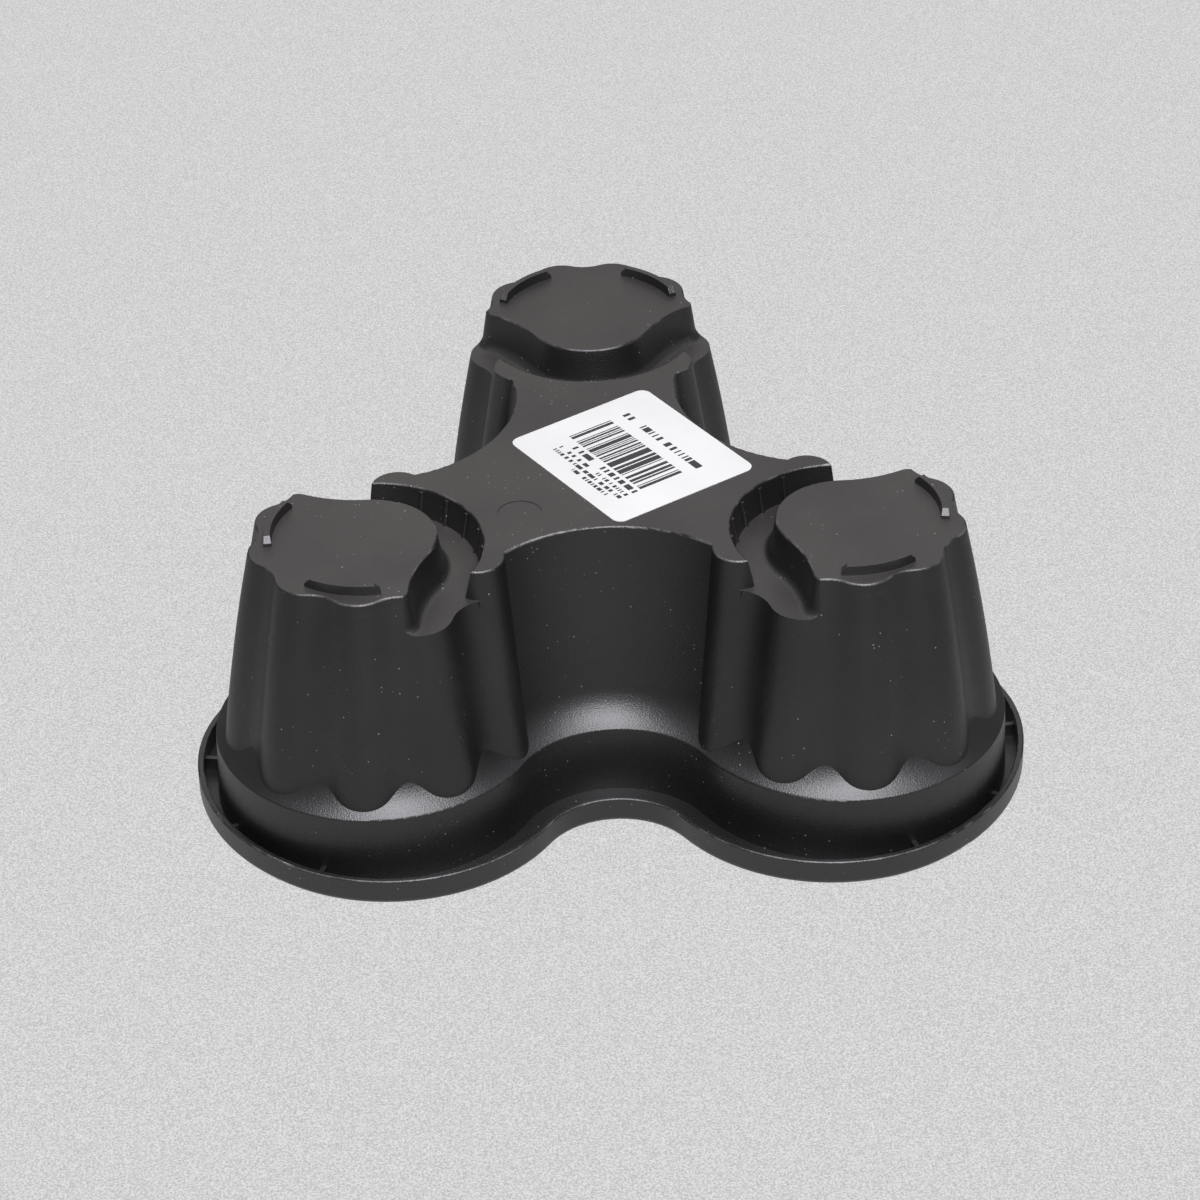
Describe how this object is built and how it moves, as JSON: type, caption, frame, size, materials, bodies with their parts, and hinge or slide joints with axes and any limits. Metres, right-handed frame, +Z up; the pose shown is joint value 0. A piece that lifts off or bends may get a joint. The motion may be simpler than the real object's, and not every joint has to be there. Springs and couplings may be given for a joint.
{
  "type": "herb planter",
  "caption": "Black moulded plastic planter: fluted pots set in a trefoil, open to one another above a low centre plate, with a flat turned-down rim; a white paper label is stuck underneath.",
  "frame": {"origin": "on the ground plane under the feet, at the middle of the rim's bounding box", "axes": "+Z up through the open mouth; +Y towards the single back pot; +X towards the right-hand front pot"},
  "size_m": [0.1982, 0.1844, 0.0733],
  "materials": {
    "black_plastic": "satin",
    "label_paper": "matte"
  },
  "bodies": {
    "root": {"planter_body": "black_plastic", "paper_label": "label_paper"}
  },
  "joints": []
}
